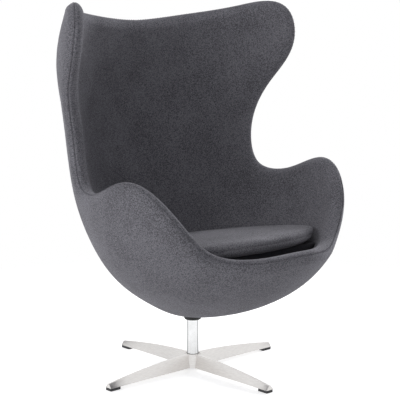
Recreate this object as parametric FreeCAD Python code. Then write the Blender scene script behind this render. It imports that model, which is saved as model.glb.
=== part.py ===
import FreeCAD, Part
import math
import os

os.makedirs("parts", exist_ok=True)
V = FreeCAD.Vector

# Pod chair on a four-arm star foot. Millimetres, +Z up, the front of the chair towards -Y.
# Everything is laid out round the column's axis. At the end it is moved back by COLUMN_Y,
# which puts the origin on the floor under the middle of the chair's outline.
COLUMN_Y = 42.0

# Upholstered shell, measured on the middle of its thickness.
LEVEL_Z = [186.0, 198.0, 232.0, 300.0, 410.0, 560.0, 730.0, 900.0, 1060.0]
HALF_WIDTH = [0.0, 67.0, 141.0, 246.0, 325.0, 371.0, 392.0, 425.0, 402.0]
BACK_Y = [12.0, 70.0, 117.0, 177.0, 244.0, 306.0, 328.0, 291.0, 225.0]
FRONT_Y = [12.0, -85.0, -205.0, -333.0, -426.0, -503.0, -539.0, -508.0, -409.0]
SQUARE_AT = [0.0, 0.5, 0.74, 0.86, 1.0]
SQUARENESS = [-0.01, 0.0, 0.0, 0.02, 0.05]
POLE_FLATNESS = 0.30
WING_SWEEP_LEVEL = 0.74
WING_SWEEP_POWER = 5

# Edge of the shell from the middle of the front lip, over the right arm, the neck and the
# right wing, to the middle of the back.
RIM = [
    (0.0, -412.0, 391.0),
    (120.0, -385.0, 385.0),
    (231.0, -321.0, 405.0),
    (322.0, -268.0, 511.0),
    (370.0, -173.0, 588.0),
    (364.0, -38.0, 546.0),
    (331.0, 83.0, 559.0),
    (327.0, 121.0, 693.0),
    (377.0, 77.0, 847.0),
    (406.0, 16.0, 968.0),
    (393.0, 25.0, 1030.0),
    (319.0, 132.0, 1034.0),
    (177.0, 223.0, 1008.0),
    (0.0, 255.0, 992.0),
]

# Layers of the shell, from the outer cover inwards.
SHELL_THICKNESS = 46.0
COVER_THICKNESS = 1.5
OUTER_FOAM_THICKNESS = 10.0
CORE_THICKNESS = 5.0
CORE_EDGE_INSET = 12.0
FOAM_JOINT = 0.3

# Openings round the seat fixing.
NECK_HOLE_RADIUS = 27.0
POCKET_RADIUS = 80.0
POCKET_TOP_Z = 246.0

# Seat block and loose cushion, both leaning back.
SEAT_SLOPE_DEG = 8.5
SEAT_PLANE_Z = 351.0
SEAT_BLOCK_FRONT_Y = -290.0
SOFT_GAP = 0.3
BLOCK_WALL_GAP = 0.7
CUSHION_WALL_GAP = 2.5
CUSHION_THICKNESS = 50.0
CUSHION_EDGE_HEIGHT = 38.0
CUSHION_EDGE_INSET = 10.0
CUSHION_EDGE_POWER = 4
CUSHION_FRONT_Y = -352.0
CUSHION_FRONT_RADIUS = 420.0
CUSHION_CORNER_BLEND = 44.0
CUSHION_CENTRE_Y = -60.0
CUSHION_CLOTH = 1.2

# Seat fixing: round plate on four bosses, with two cheeks that hang on the tilt pin.
PLATE_BOTTOM_Z = 227.0
PLATE_THICKNESS = 4.0
PLATE_RADIUS = 72.0
FIXING_PITCH = 80.0
BOSS_RADIUS = 13.0
INSERT_RADIUS = 6.0
INSERT_LENGTH = 16.0
FIXING_SCREW_RADIUS = 4.0
FIXING_HOLE_GAP = 0.3
SCREW_TIP_GAP = 2.0
SCREW_HEAD_RADIUS = 6.5
SCREW_HEAD_HEIGHT = 5.5
HEX_KEY_RADIUS = 3.0
WASHER_RADIUS = 8.0
WASHER_THICKNESS = 1.6
PIVOT_Z = 176.0
CHEEK_GAP_HALF = 16.0
CHEEK_THICKNESS = 6.0
CHEEK_RADIUS = 12.0
CHEEK_TOP_HALF_WIDTH = 20.0
PIN_RADIUS = 6.0
PIN_RUNNING_GAP = 0.04
PIVOT_BUSH_WALL = 2.0
PIN_END = 1.7
CLIP_THICKNESS = 1.2
CLIP_GROOVE_DEPTH = 0.8
CLIP_MOUTH = 0.7
PIN_CLIP_RADIUS = 9.0

# Swivel: yoke on a spindle that turns in two bushes inside the column.
YOKE_HALF_WIDTH = 15.0
YOKE_HALF_DEPTH = 14.0
YOKE_NECK_RADIUS = 17.0
YOKE_NECK_HEIGHT = 3.0
BAR_BOTTOM_Z = 193.0
BAR_TOP_Z = 205.0
BAR_FRONT_Y = -44.0
BAR_BACK_Y = 52.0
FRONT_BUFFER_Y = -33.0
FRONT_BUFFER_RADIUS = 10.0
REAR_BUFFER_Y = 38.0
REAR_BUFFER_RADIUS = 13.0
BUFFER_WAIST = 2.0
SPINDLE_RADIUS = 10.0
SPINDLE_BOTTOM_Z = 34.0
SPINDLE_RUNNING_GAP = 0.05
SPINDLE_IN_YOKE = 6.0
SPINDLE_CLIP_RADIUS = 12.4

# Column, its bushes and the collar under the shell.
COLUMN_RADIUS = 17.5
COLUMN_WALL = 2.5
COLUMN_BOTTOM_Z = 14.0
COLUMN_TOP_Z = 156.0
BUSH_LENGTH = 30.0
BUSH_FLANGE = 2.0
THRUST_THICKNESS = 1.5
LOWER_BUSH_Z = 44.0
COLLAR_RADIUS = 28.5
COLLAR_FOOT_RADIUS = 23.5
COLLAR_BORE = 22.0
COLLAR_BOTTOM_Z = 151.5
COLLAR_FLOOR = 2.5
COLLAR_SLOPE_HEIGHT = 9.5

# Star foot.
FOOT_RADIUS = 318.0
ARM_COUNT = 4
ARM_STATIONS = 6
ARM_BOTTOM_Z = 8.0
ARM_TIP_HEIGHT = 12.0
HUB_TOP_Z = 48.0
ARM_TOP_POWER = 1.8
ARM_TOP_HALF = 3.5
ARM_FOOT_HALF = 13.0
HUB_TOP_RADIUS = 22.0
HUB_FOOT_RADIUS = 27.0
HUB_RECESS_RADIUS = 20.5
HUB_RECESS_DEPTH = 3.0
PLUG_HEIGHT = 12.0
COLUMN_SCREW_RADIUS = 5.0
COLUMN_SCREW_HEAD_RADIUS = 8.0
COLUMN_SCREW_HEAD_HEIGHT = 4.0
GLIDE_LENGTH = 36.0
GLIDE_HALF_WIDTH = 13.0
GLIDE_LIP = 3.5
GLIDE_LIP_HEIGHT = 4.0
GLIDE_CORNER = 4.0
GLIDE_SCREW_RADIUS = 2.5
GLIDE_SCREW_LENGTH = 14.0
GLIDE_SCREW_HEAD = 5.0
GLIDE_SCREW_RECESS = 2.5

# How finely the shell's surfaces are followed.
COLUMNS_HALF = 24
SHELL_ROWS = [0.015, 0.05, 0.11, 0.19, 0.28, 0.38, 0.49, 0.6, 0.7, 0.8, 0.88, 0.95, 1.0]
EDGE_STEPS = 6
CUSHION_SIDE_STEPS = 6
PROBE = 0.002
CENTRE_SHARE = 0.03

OUT = SHELL_THICKNESS / 2
OUT_FOAM = OUT - COVER_THICKNESS
OUT_CORE = OUT_FOAM - OUTER_FOAM_THICKNESS
IN_CORE = OUT_CORE - CORE_THICKNESS
IN_FOAM = COVER_THICKNESS - OUT


def spline(xs, ys):
    """Natural cubic spline through (xs, ys), as a function."""
    n = len(xs)
    h = [xs[i + 1] - xs[i] for i in range(n - 1)]
    lower = [0.0] * n
    bend = [0.0] * n
    for i in range(1, n - 1):
        slope = (ys[i + 1] - ys[i]) / h[i] - (ys[i] - ys[i - 1]) / h[i - 1]
        pivot = 2 * (h[i] + h[i - 1]) - h[i - 1] * lower[i - 1]
        lower[i] = h[i] / pivot
        bend[i] = (6 * slope - h[i - 1] * bend[i - 1]) / pivot
    for i in range(n - 2, 0, -1):
        bend[i] -= lower[i] * bend[i + 1]

    def value(x):
        i = 0
        while i < n - 2 and x > xs[i + 1]:
            i += 1
        a = (xs[i + 1] - x) / h[i]
        b = 1 - a
        curve = (a ** 3 - a) * bend[i] + (b ** 3 - b) * bend[i + 1]
        return a * ys[i] + b * ys[i + 1] + curve * h[i] ** 2 / 6

    return value


LOW_Z = LEVEL_Z[0]
HIGH_Z = LEVEL_Z[-1]
REACH = math.sqrt(1 + POLE_FLATNESS ** 2) - POLE_FLATNESS


def height_at(m):
    """Height of a level, where m runs from 0 at the bottom to 1."""
    rise = math.sqrt(m * m + POLE_FLATNESS ** 2) - POLE_FLATNESS
    return LOW_Z + (HIGH_Z - LOW_Z) * rise / REACH


def level_at(z):
    """The m of a height, the inverse of height_at."""
    root = (z - LOW_Z) / (HIGH_Z - LOW_Z) * REACH + POLE_FLATNESS
    return math.sqrt(max(root * root - POLE_FLATNESS ** 2, 0.0))


LEVELS = [level_at(z) for z in LEVEL_Z]
half_width = spline(LEVELS, HALF_WIDTH)
back_y = spline(LEVELS, BACK_Y)
front_y = spline(LEVELS, FRONT_Y)
squareness = spline(SQUARE_AT, SQUARENESS)


def level_point(m, angle):
    """Point of the shell's middle on level m. The angle is 0 at the back and pi in front."""
    back = back_y(m)
    front = front_y(m)
    swell = 1 + squareness(m) * math.sin(2 * angle) ** 2
    x = half_width(m) * math.sin(angle) * swell
    y = (back + front) / 2 + (back - front) / 2 * math.cos(angle) * swell
    return V(x, y, height_at(m))


def rim_splines():
    """The rim as three splines of its length, from 0 at the front to 1 at the back."""
    head = [(-x, y, z) for x, y, z in RIM[3:0:-1]]
    tail = [(-x, y, z) for x, y, z in RIM[-2:-5:-1]]
    points = head + RIM + tail
    length = [0.0]
    for a, b in zip(points, points[1:]):
        length.append(length[-1] + math.dist(a, b))
    start = length[len(head)]
    whole = length[len(head) + len(RIM) - 1] - start
    share = [(s - start) / whole for s in length]
    return [spline(share, [p[k] for p in points]) for k in range(3)]


rim_x, rim_y, rim_z = rim_splines()
RIBS = {}


def bend_angle(angle, m, way):
    """Angle on level m bent back (way 1) or forward again (way -1), so that the ribs sweep
    round the neck into the wings and never cross."""
    pull = (1 + (m / WING_SWEEP_LEVEL) ** WING_SWEEP_POWER) ** -way
    return 2 * math.atan2(pull * math.sin(angle / 2), math.cos(angle / 2))


def rib(t):
    """Where the rib at share t of the rim ends: its bent angle, level and last small shift."""
    if t not in RIBS:
        edge = V(rim_x(t), rim_y(t), rim_z(t))
        m = level_at(edge.z)
        back = back_y(m)
        front = front_y(m)
        across = edge.x / half_width(m)
        along = (edge.y - (back + front) / 2) / ((back - front) / 2)
        angle = math.atan2(across, along)
        if t < 0.5 and angle < 0:
            angle += 2 * math.pi
        RIBS[t] = (bend_angle(angle, m, 1), m, edge - level_point(m, angle))
    return RIBS[t]


def middle(t, v):
    """Point of the shell's middle surface on rib t, with v from 0 at the bottom to 1 at the rim."""
    bent, m, shift = rib(t)
    return level_point(m * v, bend_angle(bent, m * v, -1)) + shift * v ** 3


def frame_at(t, v):
    """Middle point, outward normal and direction away from the rim."""
    low = max(v - PROBE, PROBE)
    high = min(v + PROBE, 1.0)
    along = middle(t + PROBE, v) - middle(t - PROBE, v)
    up = middle(t, high) - middle(t, low)
    along.normalize()
    normal = along.cross(up)
    normal.normalize()
    away = normal.cross(along)
    return middle(t, v), normal, away


def skin(t, v, offset):
    point, normal, away = frame_at(t, v)
    return point + normal * offset


def ring(place):
    """Closed ring of points, one per rib, from the right half given by place(t)."""
    half = [place(k / COLUMNS_HALF) for k in range(COLUMNS_HALF + 1)]
    half[0].x = 0.0
    half[-1].x = 0.0
    left = [V(-p.x, p.y, p.z) for p in half[-2:0:-1]]
    return half + left


def way_round():
    """Shares of the way round at which the ribs stand, from their mean spacing."""
    steps = []
    for k in range(COLUMNS_HALF):
        low = k / COLUMNS_HALF
        high = (k + 1) / COLUMNS_HALF
        steps.append(sum((middle(high, v) - middle(low, v)).Length for v in SHELL_ROWS))
    steps = steps + steps[::-1]
    shares = [0.0]
    for step in steps:
        shares.append(shares[-1] + step / sum(steps))
    return shares


WAY_ROUND = way_round()


def closed_curve(row):
    """Smooth closed curve through a ring of points."""
    curve = Part.BSplineCurve()
    curve.interpolate(Points=row, PeriodicFlag=True, Parameters=WAY_ROUND)
    return curve


def surface(rows):
    """Smooth face through closed rings of points, one ring after another."""
    curves = [closed_curve(row) for row in rows]
    nets = [curve.getPoles() for curve in curves]
    first = curves[0]
    if len(rows) == 2:
        columns = list(zip(nets[0], nets[1]))
        knots, mults, degree = [0.0, 1.0], [2, 2], 1
    else:
        reach = [0.0]
        for a, b in zip(nets, nets[1:]):
            step = sum(p.distanceToPoint(q) for p, q in zip(a, b)) / len(a)
            reach.append(reach[-1] + step)
        across = [r / reach[-1] for r in reach]
        columns = []
        for k in range(len(nets[0])):
            curve = Part.BSplineCurve()
            curve.interpolate(Points=[net[k] for net in nets], Parameters=across)
            columns.append(curve.getPoles())
            knots, mults, degree = curve.getKnots(), curve.getMultiplicities(), curve.Degree
    sheet = Part.BSplineSurface()
    sheet.buildFromPolesMultsKnots(columns, first.getMultiplicities(), mults, first.getKnots(),
                                   knots, True, False, first.Degree, degree)
    return sheet.toShape()


def solid_from(faces):
    """Closed solid from faces that share their edges."""
    sewn = Part.makeCompound(faces)
    sewn.sewShape()
    solid = Part.Solid(sewn.Shells[0])
    if solid.Volume < 0:
        solid.reverse()
    return solid


def cylinder(radius, z_low, z_high, x=0.0, y=0.0):
    return Part.makeCylinder(radius, z_high - z_low, V(x, y, z_low))


def tube(radius, bore, z_low, z_high, x=0.0, y=0.0):
    return cylinder(radius, z_low, z_high, x, y).cut(cylinder(bore, z_low, z_high, x, y))


def x_cylinder(radius, x_low, x_high, y, z):
    return Part.makeCylinder(radius, x_high - x_low, V(x_low, y, z), V(1, 0, 0))


def box(low, high):
    size = [b - a for a, b in zip(low, high)]
    return Part.makeBox(size[0], size[1], size[2], V(low[0], low[1], low[2]))


def turned(profile):
    """Solid of revolution about the column's axis, from (radius, height) corners."""
    corners = [V(r, 0, z) for r, z in profile]
    face = Part.Face(Part.makePolygon(corners + corners[:1]))
    return face.revolve(V(0, 0, 0), V(0, 0, 1), 360)


def group(shapes):
    return Part.makeCompound(shapes)


NODES = {}


def keep(name, shape):
    NODES[name] = shape


def core_end(t):
    """The v where the hard core stops, inset from the rim."""
    return 1 - CORE_EDGE_INSET * PROBE / (middle(t, 1.0) - middle(t, 1.0 - PROBE)).Length


def skin_rows(offset, end=1.0):
    return [ring(lambda t, v=v: skin(t, v * (end(t) if callable(end) else end), offset))
            for v in SHELL_ROWS]


def lip_rows(offset):
    """Rings round the rim's half round, from the outer face to the inner one."""
    rows = []
    for k in range(EDGE_STEPS + 1):
        turn = math.pi * k / EDGE_STEPS

        def place(t, turn=turn):
            point, normal, away = frame_at(t, 1.0)
            return point + normal * (offset * math.cos(turn)) + away * (offset * math.sin(turn))

        rows.append(ring(place))
    return rows


def make_shell():
    """Hard core, foam on both sides of it, and the two covers that meet along the rim."""
    out_rows = skin_rows(OUT)
    out_foam_rows = skin_rows(OUT_FOAM)
    out_core_rows = skin_rows(OUT_CORE)
    core_out_rows = skin_rows(OUT_CORE, core_end)
    core_in_rows = skin_rows(IN_CORE, core_end)
    in_foam_rows = skin_rows(IN_FOAM)
    in_rows = skin_rows(-OUT)
    cover_lip = lip_rows(OUT)
    foam_lip = lip_rows(OUT_FOAM)

    outer_cover = solid_from([
        surface(out_rows),
        surface(out_foam_rows),
        surface([out_rows[0], out_foam_rows[0]]),
        surface([out_rows[-1], out_foam_rows[-1]]),
    ])
    outer_foam = solid_from([
        surface(out_foam_rows),
        surface(out_core_rows),
        surface([out_foam_rows[0], out_core_rows[0]]),
        surface([out_foam_rows[-1], out_core_rows[-1]]),
    ])
    core = solid_from([
        surface(core_out_rows),
        surface(core_in_rows),
        surface([core_out_rows[0], core_in_rows[0]]),
        surface([core_out_rows[-1], core_in_rows[-1]]),
    ])
    band = OUT_CORE - FOAM_JOINT
    band_rows = []
    for share in (0.0, 0.5, 1.0):
        band_rows.append(ring(lambda t, s=share: skin(t, core_end(t) * (1 - s) + s, band)))
    inner_foam = solid_from([
        surface(core_in_rows),
        surface([core_in_rows[-1], band_rows[0]]),
        surface(band_rows),
        surface([band_rows[-1], out_foam_rows[-1]]),
        surface(foam_lip),
        surface(in_foam_rows),
        surface([in_foam_rows[0], core_in_rows[0]]),
    ])
    inner_cover = solid_from([
        surface([cover_lip[0], foam_lip[0]]),
        surface(cover_lip),
        surface(in_rows),
        surface([in_rows[0], in_foam_rows[0]]),
        surface(in_foam_rows),
        surface(foam_lip),
    ])

    neck = cylinder(NECK_HOLE_RADIUS, COLLAR_BOTTOM_Z, POCKET_TOP_Z)
    pocket = cylinder(POCKET_RADIUS, COLLAR_BOTTOM_Z, POCKET_TOP_Z + SHELL_THICKNESS)
    bed_rows = skin_rows((OUT_CORE + IN_CORE) / 2)
    below = solid_from([
        surface(out_rows),
        surface(bed_rows),
        surface([out_rows[0], bed_rows[0]]),
        surface([out_rows[-1], bed_rows[-1]]),
    ])
    bosses = []
    holes = []
    for x, y in fixing_places():
        boss = cylinder(BOSS_RADIUS, LOW_Z - IN_CORE, PLATE_BOTTOM_Z, x, y).cut(below)
        bosses.append(boss)
        holes.append(cylinder(INSERT_RADIUS, PLATE_BOTTOM_Z - INSERT_LENGTH, PLATE_BOTTOM_Z, x, y))
    keep("shell_core", core.cut(neck).fuse(bosses).cut(holes))
    keep("outer_foam", outer_foam.cut(neck))
    keep("outer_cover", outer_cover.cut(neck))
    keep("inner_foam", inner_foam.cut(pocket))
    keep("inner_cover", inner_cover.cut(pocket))


def fixing_places():
    half = FIXING_PITCH / 2
    return [(sx * half, sy * half) for sx in (1, -1) for sy in (1, -1)]


SLOPE = math.tan(math.radians(SEAT_SLOPE_DEG))


def seat_plane(y):
    """Height of the sloping plane between the seat block and the cushion."""
    return SEAT_PLANE_Z - SLOPE * y


def wall_share(t, offset, lift):
    """The v where a rib of the offset inner wall meets the plane lifted above the seat's."""
    low, high = PROBE, 1.0
    for _ in range(24):
        mid = (low + high) / 2
        point = skin(t, mid, -offset)
        if point.z < seat_plane(point.y) + lift:
            low = mid
        else:
            high = mid
    return low


def make_seat_block():
    """Foam block that fills the bottom of the bowl and carries the cushion."""
    inset = OUT + BLOCK_WALL_GAP
    ends = [wall_share(k / COLUMNS_HALF, inset, -SOFT_GAP) for k in range(COLUMNS_HALF + 1)]
    rows = []
    for share in SHELL_ROWS:
        rows.append(ring(lambda t, s=share: skin(t, s * ends[round(t * COLUMNS_HALF)], -inset)))
    top_rows = []
    centre = V(0, CUSHION_CENTRE_Y, seat_plane(CUSHION_CENTRE_Y) - SOFT_GAP)
    flat = [V(p.x, p.y, seat_plane(p.y) - SOFT_GAP) for p in rows[-1]]
    for share in (1.0, 0.5, CENTRE_SHARE):
        top_rows.append([centre + (p - centre) * share for p in flat])
    rows[-1] = flat
    faces = [surface(rows), surface(top_rows), cap(rows[0]), cap(top_rows[-1])]
    block = solid_from(faces)
    wide = max(HALF_WIDTH)
    front = box((-wide, min(FRONT_Y), 0.0), (wide, SEAT_BLOCK_FRONT_Y, HIGH_Z))
    pocket = cylinder(POCKET_RADIUS, 0.0, POCKET_TOP_Z)
    keep("seat_block", block.cut(front).cut(pocket))


def cap(row):
    """Small face that closes a ring of points."""
    return Part.makeFilledFace([closed_curve(row).toShape()])


def cushion_ring(inset, height):
    """Ring round the cushion at a height over its base: the bowl's wall behind, an arc in front."""
    wall = OUT + CUSHION_WALL_GAP
    centre = V(0, CUSHION_CENTRE_Y, 0)

    def place(t):
        p = skin(t, wall_share(t, wall, height), -wall)
        front = CUSHION_FRONT_Y + p.x ** 2 / (2 * CUSHION_FRONT_RADIUS)
        gap = p.y - front
        arm = V(p.x, front + (gap + math.hypot(gap, CUSHION_CORNER_BLEND)) / 2, 0) - centre
        return centre + arm * (1 - inset / arm.Length)

    return ring(place)


def on_seat(row, share, height):
    """A ring drawn in to a share of its size about the cushion's middle and laid on the seat."""
    centre = V(0, CUSHION_CENTRE_Y, 0)
    drawn = [centre + (p - centre) * share for p in row]
    return [V(p.x, p.y, seat_plane(p.y) + height) for p in drawn]


def cushion_rows(cloth):
    """Rings of the cushion's side from its base up, then those of its crown."""
    edge = CUSHION_EDGE_HEIGHT - 2 * cloth
    rise = CUSHION_THICKNESS - CUSHION_EDGE_HEIGHT
    rows = []
    for k in range(CUSHION_SIDE_STEPS + 1):
        level = 2 * k / CUSHION_SIDE_STEPS - 1
        height = cloth + edge * (1 + level) / 2
        inset = cloth + CUSHION_EDGE_INSET * abs(level) ** CUSHION_EDGE_POWER
        edge_ring = cushion_ring(inset, height)
        rows.append(on_seat(edge_ring, 1.0, height))
    for share in (0.85, 0.5, CENTRE_SHARE):
        crown = rise * (1 - share ** 2)
        rows.append(on_seat(edge_ring, share, cloth + edge + crown))
    return rows


def make_cushion():
    """Foam cushion and the two cloth panels sewn round it."""
    seam = CUSHION_SIDE_STEPS // 2
    tops = []
    bases = []
    for cloth in (0.0, CUSHION_CLOTH):
        rows = cushion_rows(cloth)
        middle_row = on_seat(rows[0], CENTRE_SHARE, cloth)
        bases.append([surface([middle_row, rows[0]]), surface(rows[:seam + 1]), cap(middle_row)])
        tops.append([surface(rows[seam:]), cap(rows[-1])])
        if cloth == 0.0:
            outside = rows[seam]
    rim = surface([outside, rows[seam]])
    keep("cushion_foam", solid_from(bases[1] + tops[1]))
    keep("cushion_top_cover", solid_from(tops[0] + tops[1] + [rim]))
    keep("cushion_base_cover", solid_from(bases[0] + bases[1] + [rim]))


def make_seat_fixing():
    """Plate, cheeks, bushes and screws under the seat block."""
    top = PLATE_BOTTOM_Z + PLATE_THICKNESS
    plate = cylinder(PLATE_RADIUS, PLATE_BOTTOM_Z, top)
    hole = FIXING_SCREW_RADIUS + FIXING_HOLE_GAP
    inserts = []
    screws = []
    washers = []
    for x, y in fixing_places():
        plate = plate.cut(cylinder(hole, PLATE_BOTTOM_Z, top, x, y))
        low = PLATE_BOTTOM_Z - INSERT_LENGTH
        inserts.append(tube(INSERT_RADIUS, FIXING_SCREW_RADIUS, low, PLATE_BOTTOM_Z, x, y))
        seat = top + WASHER_THICKNESS
        washers.append(tube(WASHER_RADIUS, hole, top, seat, x, y))
        shank = cylinder(FIXING_SCREW_RADIUS, low + SCREW_TIP_GAP, seat, x, y)
        head = cylinder(SCREW_HEAD_RADIUS, seat, seat + SCREW_HEAD_HEIGHT, x, y)
        key_low = seat + SCREW_HEAD_HEIGHT / 2
        key = hexagon(HEX_KEY_RADIUS, key_low, seat + SCREW_HEAD_HEIGHT, x, y)
        screws.append(shank.fuse(head).cut(key))
    keep("mounting_plate", plate)
    keep("shell_inserts", group(inserts))
    keep("seat_screws", group(screws))
    keep("seat_washers", group(washers))

    bush_radius = PIN_RADIUS + PIN_RUNNING_GAP + PIVOT_BUSH_WALL
    bushes = []
    cheeks = []
    for side in (1, -1):
        near = side * CHEEK_GAP_HALF
        far = side * (CHEEK_GAP_HALF + CHEEK_THICKNESS)
        x_low, x_high = min(near, far), max(near, far)
        eye = x_cylinder(CHEEK_RADIUS, x_low, x_high, 0.0, PIVOT_Z)
        corners = [
            V(x_low, -CHEEK_RADIUS, PIVOT_Z),
            V(x_low, CHEEK_RADIUS, PIVOT_Z),
            V(x_low, CHEEK_TOP_HALF_WIDTH, PLATE_BOTTOM_Z),
            V(x_low, -CHEEK_TOP_HALF_WIDTH, PLATE_BOTTOM_Z),
        ]
        web = Part.Face(Part.makePolygon(corners + corners[:1])).extrude(V(x_high - x_low, 0, 0))
        hole = x_cylinder(bush_radius, x_low, x_high, 0.0, PIVOT_Z)
        cheeks.append(eye.fuse(web).cut(hole).removeSplitter())
        bush = hole.cut(x_cylinder(PIN_RADIUS + PIN_RUNNING_GAP, x_low, x_high, 0.0, PIVOT_Z))
        bushes.append(bush)
    keep("tilt_cheeks", group(cheeks))
    keep("pivot_bushes", group(bushes))


def hexagon(radius, z_low, z_high, x=0.0, y=0.0):
    corners = []
    for k in range(6):
        turn = math.pi * k / 3
        corners.append(V(x + radius * math.cos(turn), y + radius * math.sin(turn), z_low))
    face = Part.Face(Part.makePolygon(corners + corners[:1]))
    return face.extrude(V(0, 0, z_high - z_low))


def make_swivel():
    """Yoke and spindle that turn on the column, the tilt pin and its two buffers."""
    low = COLUMN_TOP_Z + BUSH_FLANGE + THRUST_THICKNESS
    neck_top = low + YOKE_NECK_HEIGHT
    yoke = cylinder(YOKE_NECK_RADIUS, low, neck_top)
    yoke = yoke.fuse(box((-YOKE_HALF_WIDTH, -YOKE_HALF_DEPTH, neck_top),
                         (YOKE_HALF_WIDTH, YOKE_HALF_DEPTH, BAR_TOP_Z)))
    yoke = yoke.fuse(box((-YOKE_HALF_WIDTH, BAR_FRONT_Y, BAR_BOTTOM_Z),
                         (YOKE_HALF_WIDTH, BAR_BACK_Y, BAR_TOP_Z)))
    yoke = yoke.cut(cylinder(SPINDLE_RADIUS, low, low + SPINDLE_IN_YOKE))
    yoke = yoke.cut(x_cylinder(PIN_RADIUS, -YOKE_HALF_WIDTH, YOKE_HALF_WIDTH, 0.0, PIVOT_Z))
    keep("swivel_yoke", yoke.removeSplitter())

    clip_z = LOWER_BUSH_Z - CLIP_THICKNESS
    groove = tube(SPINDLE_RADIUS, SPINDLE_RADIUS - CLIP_GROOVE_DEPTH, clip_z, LOWER_BUSH_Z)
    keep("spindle", cylinder(SPINDLE_RADIUS, SPINDLE_BOTTOM_Z, low + SPINDLE_IN_YOKE).cut(groove))
    root = SPINDLE_RADIUS - CLIP_GROOVE_DEPTH
    mouth = CLIP_MOUTH * root
    clip = tube(SPINDLE_CLIP_RADIUS, root, clip_z, LOWER_BUSH_Z)
    clip = clip.cut(box((-mouth, -SPINDLE_CLIP_RADIUS, clip_z), (mouth, 0.0, LOWER_BUSH_Z)))
    keep("spindle_clip", clip)

    outer = CHEEK_GAP_HALF + CHEEK_THICKNESS
    end = outer + CLIP_THICKNESS + PIN_END
    pin = x_cylinder(PIN_RADIUS, -end, end, 0.0, PIVOT_Z)
    clips = []
    for side in (1, -1):
        face = side * (outer + SOFT_GAP)
        away = side * (outer + SOFT_GAP + CLIP_THICKNESS)
        x_low, x_high = min(face, away), max(face, away)
        root = PIN_RADIUS - CLIP_GROOVE_DEPTH
        collar = x_cylinder(PIN_CLIP_RADIUS, x_low, x_high, 0.0, PIVOT_Z)
        collar = collar.cut(x_cylinder(root, x_low, x_high, 0.0, PIVOT_Z))
        pin = pin.cut(collar)
        mouth = CLIP_MOUTH * root
        clips.append(collar.cut(box((x_low, -mouth, PIVOT_Z),
                                    (x_high, mouth, PIVOT_Z + PIN_CLIP_RADIUS))))
    keep("tilt_pin", pin)
    keep("pin_clips", group(clips))

    stop_top = PLATE_BOTTOM_Z - SOFT_GAP
    keep("front_buffer", buffer(FRONT_BUFFER_RADIUS, FRONT_BUFFER_Y, stop_top))
    keep("rear_buffer", buffer(REAR_BUFFER_RADIUS, REAR_BUFFER_Y, stop_top))


def buffer(radius, y, top):
    """Rubber buffer with a waist, standing on the yoke's bar."""
    height = top - BAR_TOP_Z
    waist = radius - BUFFER_WAIST
    profile = Part.makePolygon([V(0, y, BAR_TOP_Z), V(radius, y, BAR_TOP_Z)])
    side = Part.Arc(V(radius, y, BAR_TOP_Z), V(waist, y, BAR_TOP_Z + height / 2), V(radius, y, top))
    lid = Part.makePolygon([V(radius, y, top), V(0, y, top), V(0, y, BAR_TOP_Z)])
    face = Part.Face(Part.Wire([profile.Edges[0], side.toShape()] + lid.Edges))
    return face.revolve(V(0, y, 0), V(0, 0, 1), 360)


def make_column():
    """Polished tube, its two bushes, the thrust washer and the plug that holds its foot."""
    bore = COLUMN_RADIUS - COLUMN_WALL
    running = SPINDLE_RADIUS + SPINDLE_RUNNING_GAP
    flange_top = COLUMN_TOP_Z + BUSH_FLANGE
    keep("column_tube", tube(COLUMN_RADIUS, bore, COLUMN_BOTTOM_Z, COLUMN_TOP_Z))
    upper = tube(bore, running, COLUMN_TOP_Z - BUSH_LENGTH, COLUMN_TOP_Z)
    upper = upper.fuse(tube(COLUMN_RADIUS, running, COLUMN_TOP_Z, flange_top))
    keep("upper_bush", upper.removeSplitter())
    keep("lower_bush", tube(bore, running, LOWER_BUSH_Z, LOWER_BUSH_Z + BUSH_LENGTH))
    keep("thrust_washer", tube(YOKE_NECK_RADIUS, running, flange_top,
                               flange_top + THRUST_THICKNESS))
    plug = tube(bore, COLUMN_SCREW_RADIUS, COLUMN_BOTTOM_Z, COLUMN_BOTTOM_Z + PLUG_HEIGHT)
    keep("column_plug", plug)
    screw_low = ARM_BOTTOM_Z - COLUMN_SCREW_HEAD_HEIGHT
    screw = cylinder(COLUMN_SCREW_RADIUS, ARM_BOTTOM_Z, COLUMN_BOTTOM_Z + PLUG_HEIGHT)
    head = cylinder(COLUMN_SCREW_HEAD_RADIUS, screw_low, ARM_BOTTOM_Z)
    key = hexagon(HEX_KEY_RADIUS, screw_low, screw_low + COLUMN_SCREW_HEAD_HEIGHT / 2)
    keep("column_screw", screw.fuse(head).cut(key))
    slope_top = COLLAR_BOTTOM_Z + COLLAR_SLOPE_HEIGHT
    dish = turned([
        (COLLAR_BORE, COLLAR_BOTTOM_Z),
        (COLLAR_FOOT_RADIUS, COLLAR_BOTTOM_Z),
        (COLLAR_RADIUS, slope_top),
        (COLLAR_RADIUS, LOW_Z),
        (NECK_HOLE_RADIUS, LOW_Z),
        (NECK_HOLE_RADIUS, slope_top + COLLAR_FLOOR),
        (COLLAR_BORE, COLLAR_BOTTOM_Z + COLLAR_FLOOR),
    ])
    dish = dish.cut(NODES["outer_cover"]).cut(NODES["outer_foam"]).cut(NODES["shell_core"])
    keep("column_collar", min(dish.Solids, key=lambda solid: solid.BoundBox.ZMin))


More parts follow.
